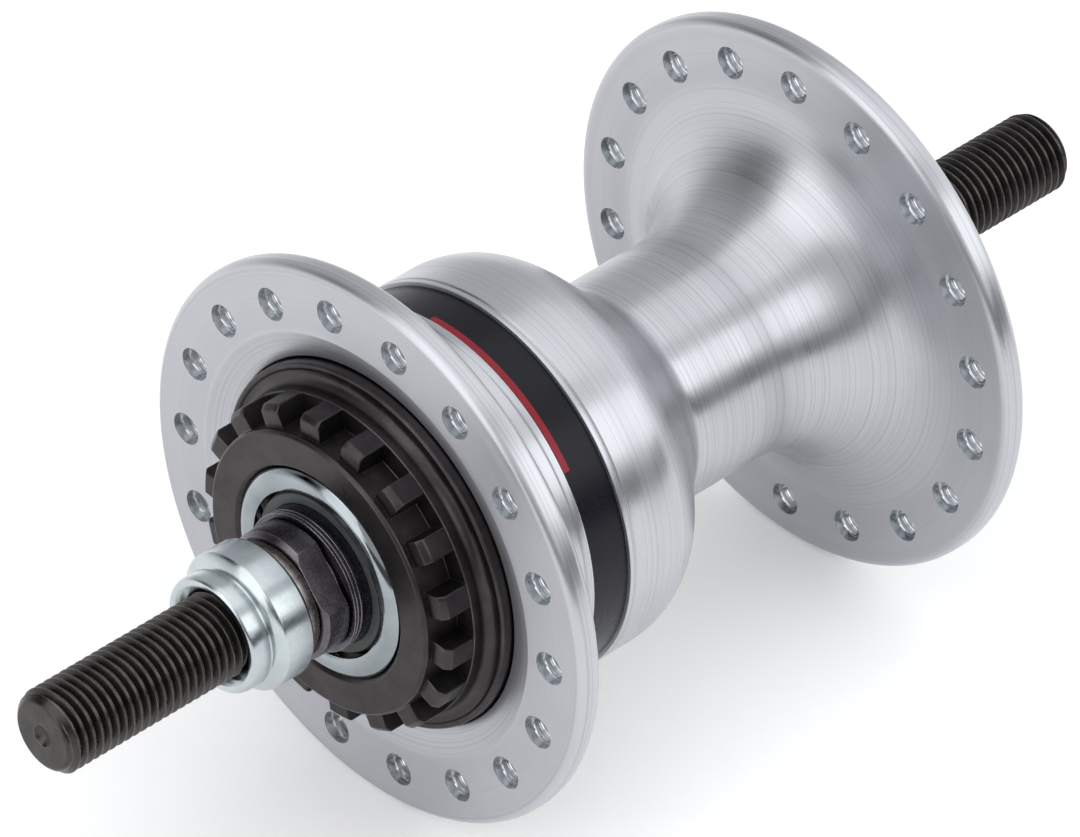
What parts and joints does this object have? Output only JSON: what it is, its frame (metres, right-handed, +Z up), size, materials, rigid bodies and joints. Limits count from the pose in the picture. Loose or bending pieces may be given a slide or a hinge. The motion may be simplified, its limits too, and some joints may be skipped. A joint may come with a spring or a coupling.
{
  "type": "roller brake front hub",
  "caption": "Front bicycle hub with a one-piece flanged shell, a toothed driver for a roller brake, cup and cone ball bearings and a solid threaded axle.",
  "frame": {"origin": "on the axle's centre line, midway between the two fork faces", "axes": "+Y along the axle towards the brake side, +Z up, +X to the right when looking along +Y"},
  "size_m": [0.065, 0.146, 0.065],
  "materials": {
    "black_steel": "black oxide",
    "zinc_plate": "bright zinc plate",
    "bare_steel": "machined",
    "seal_rubber": "matt moulded",
    "polished_alloy": "turned and polished, clear anodised",
    "phosphated_steel": "black phosphate",
    "bearing_steel": "ground",
    "bright_chrome": "polished",
    "label_film": "gloss printed film",
    "label_red": "gloss print",
    "cage_steel": "stamped"
  },
  "bodies": {
    "axle_set": {"axle": "black_steel", "brake_fixing_nut": "zinc_plate", "left_lock_washer": "bare_steel", "left_cone": "black_steel", "left_cone_seal": "seal_rubber", "right_cone": "black_steel", "right_cone_seal": "seal_rubber", "right_lock_washer": "bare_steel", "right_locknut": "zinc_plate"},
    "hub": {"hub_shell": "polished_alloy", "brake_driver": "phosphated_steel", "left_bearing_cup": "bearing_steel", "right_bearing_cup": "bearing_steel", "left_dust_cap": "bright_chrome", "right_dust_cap": "bright_chrome", "label_band": "label_film", "label_stripe": "label_red"},
    "left_ball_set": {"left_ball_cage": "cage_steel", "left_balls": "bearing_steel"},
    "right_ball_set": {"right_ball_cage": "cage_steel", "right_balls": "bearing_steel"}
  },
  "joints": [
    {"name": "hub_spin", "type": "hinge", "parent": "axle_set", "child": "hub", "pos_m": [0, 0, 0], "axis": [0, 1, 0], "continuous": true},
    {"name": "left_cage_spin", "type": "hinge", "parent": "axle_set", "child": "left_ball_set", "pos_m": [0, 0.0309, 0], "axis": [0, 1, 0], "continuous": true},
    {"name": "right_cage_spin", "type": "hinge", "parent": "axle_set", "child": "right_ball_set", "pos_m": [0, -0.0369, 0], "axis": [0, 1, 0], "continuous": true}
  ],
  "couplings": [
    {"joint": "left_cage_spin", "follows": "hub_spin", "ratio": 0.6039},
    {"joint": "right_cage_spin", "follows": "hub_spin", "ratio": 0.6039}
  ]
}
